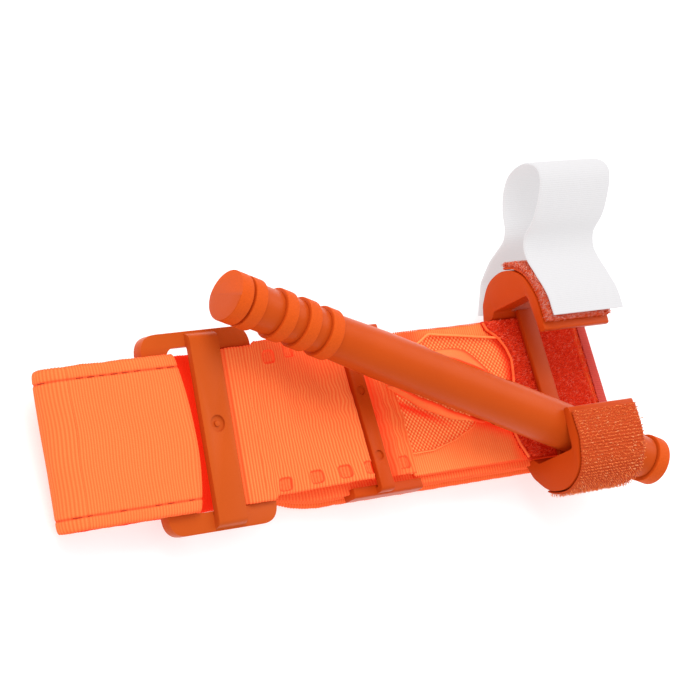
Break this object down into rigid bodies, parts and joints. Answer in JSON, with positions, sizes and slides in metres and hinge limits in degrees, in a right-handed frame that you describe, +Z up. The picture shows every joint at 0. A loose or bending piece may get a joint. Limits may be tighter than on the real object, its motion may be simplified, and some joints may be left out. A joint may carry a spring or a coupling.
{
  "type": "windlass tourniquet",
  "caption": "Folded windlass tourniquet: ribbed webbing band through a slider buckle, a ringed windlass rod held under a two-hook clip, and a white strap.",
  "frame": {"origin": "on the resting plane, straight below the middle of the windlass rod's slot", "axes": "+X along the webbing from the buckle to the windlass clip, +Z up from the resting plane"},
  "size_m": [0.1839, 0.0858, 0.0417],
  "materials": {
    "band_webbing": "woven, matte",
    "sleeve_webbing": "ribbed weave, soft sheen",
    "inner_band_mesh": "open basket weave",
    "rod_plastic": "moulded, satin",
    "clip_plastic": "moulded, satin",
    "buckle_plastic": "moulded, satin",
    "loop_pile": "napped pile",
    "hook_tape": "rows of small hooks",
    "strap_webbing": "fine ribbed weave"
  },
  "bodies": {
    "plate_body": {"band_back_run": "band_webbing", "band_right_fold": "band_webbing", "clip_bar": "clip_plastic", "far_clip_hook": "clip_plastic", "far_loop_tape": "loop_pile", "inner_band_far_fold": "inner_band_mesh", "inner_band_left": "inner_band_mesh", "inner_band_near_fold": "inner_band_mesh", "inner_band_right": "inner_band_mesh", "loop_patch": "loop_pile", "near_clip_hook": "clip_plastic", "near_hook_tape": "hook_tape", "sleeve_lower_panel": "sleeve_webbing", "sleeve_upper_panel": "sleeve_webbing", "sleeve_window_panel": "sleeve_webbing", "stabilization_plate": "clip_plastic", "tail_end_run": "band_webbing", "tail_outer_run": "band_webbing", "tail_right_fold": "band_webbing", "time_strap_anchor": "strap_webbing"},
    "windlass": {"windlass_rod": "rod_plastic", "inner_band_slot": "inner_band_mesh"},
    "buckle_body": {"slider_buckle": "buckle_plastic", "sleeve_end_loop": "sleeve_webbing", "band_under_buckle": "band_webbing", "band_over_buckle": "band_webbing", "band_inner_fold": "band_webbing", "band_outer_fold": "band_webbing", "band_back_left": "band_webbing", "tail_left_run": "band_webbing"},
    "time_strap_body": {"time_strap": "strap_webbing"}
  },
  "joints": [
    {"name": "windlass_swing", "type": "hinge", "parent": "plate_body", "child": "windlass", "pos_m": [0, 0, 0.0236], "axis": [0, 0, 1], "range_deg": [0, 43.8], "deforming": ["inner_band_near_fold", "inner_band_far_fold"]},
    {"name": "buckle_fold", "type": "hinge", "parent": "plate_body", "child": "buckle_body", "pos_m": [-0.05665, 0, 0], "axis": [0, 1, 0], "range_deg": [-30, 0]},
    {"name": "time_strap_lift", "type": "hinge", "parent": "plate_body", "child": "time_strap_body", "pos_m": [0.0295, 0.031, 0.0098], "axis": [1, 0, 0], "range_deg": [-40, 0]}
  ]
}
